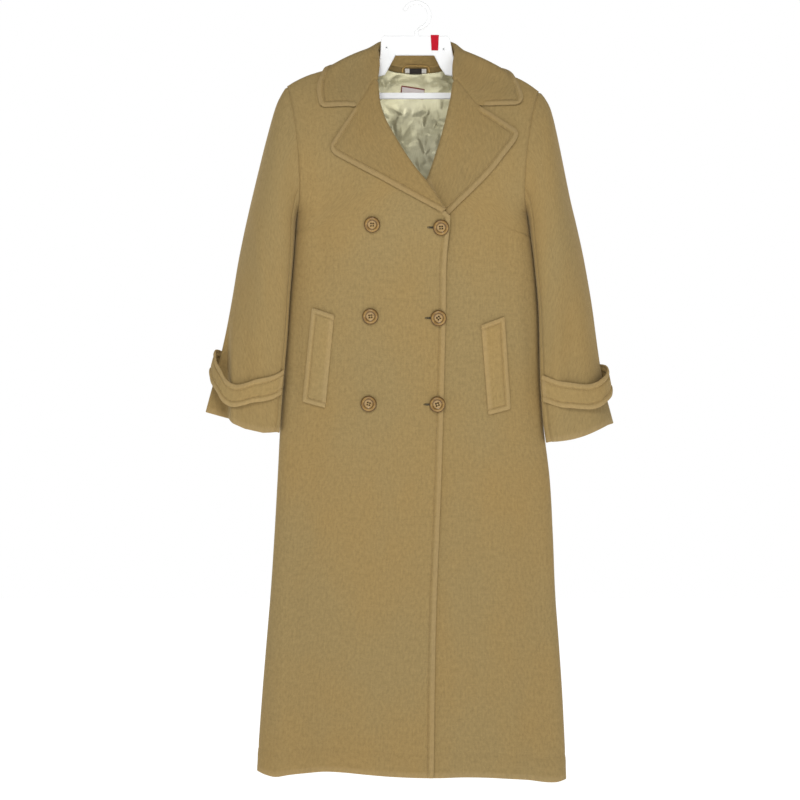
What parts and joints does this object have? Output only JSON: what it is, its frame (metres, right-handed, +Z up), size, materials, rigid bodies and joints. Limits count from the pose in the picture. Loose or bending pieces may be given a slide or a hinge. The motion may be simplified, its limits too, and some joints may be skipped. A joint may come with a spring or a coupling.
{
  "type": "double-breasted long coat on a clothes hanger",
  "caption": "Long double-breasted wool coat with wide notched lapels, slanted welt pockets and cuff straps, hanging empty on a plain moulded hanger with a hook and trouser bar.",
  "frame": {"origin": "crown of the inside of the hanger's hook, where a rail bears", "axes": "+Z up, +X to the right of someone facing the coat's front, front faces -Y"},
  "size_m": [0.6934, 0.1512, 1.3261],
  "materials": {
    "camel_wool": "brushed wool coating",
    "satin_lining": "champagne satin",
    "horn_button": "satin, horn look",
    "woven_label": "woven ribbon",
    "label_tab": "woven ribbon",
    "satin_cord": "satin cord",
    "white_plastic": "moulded",
    "red_plastic": "moulded"
  },
  "bodies": {
    "root": {"back": "camel_wool", "front_right": "camel_wool", "front_left": "camel_wool", "sleeve_upper_right": "camel_wool", "sleeve_under_right": "camel_wool", "sleeve_upper_left": "camel_wool", "sleeve_under_left": "camel_wool", "lapel_right": "camel_wool", "lapel_left": "camel_wool", "collar": "camel_wool", "collar_stand": "camel_wool", "welt_right": "camel_wool", "welt_left": "camel_wool", "cuff_strap_right": "camel_wool", "cuff_strap_left": "camel_wool", "lining_back": "satin_lining", "button_1_outer": "horn_button", "button_1_edge": "horn_button", "button_2_outer": "horn_button", "button_2_edge": "horn_button", "button_3_outer": "horn_button", "button_3_edge": "horn_button", "neck_label": "woven_label", "size_label": "woven_label", "size_tab": "label_tab", "hang_loop": "satin_cord", "hanger": "white_plastic", "hanger_marker": "red_plastic"}
  },
  "joints": []
}
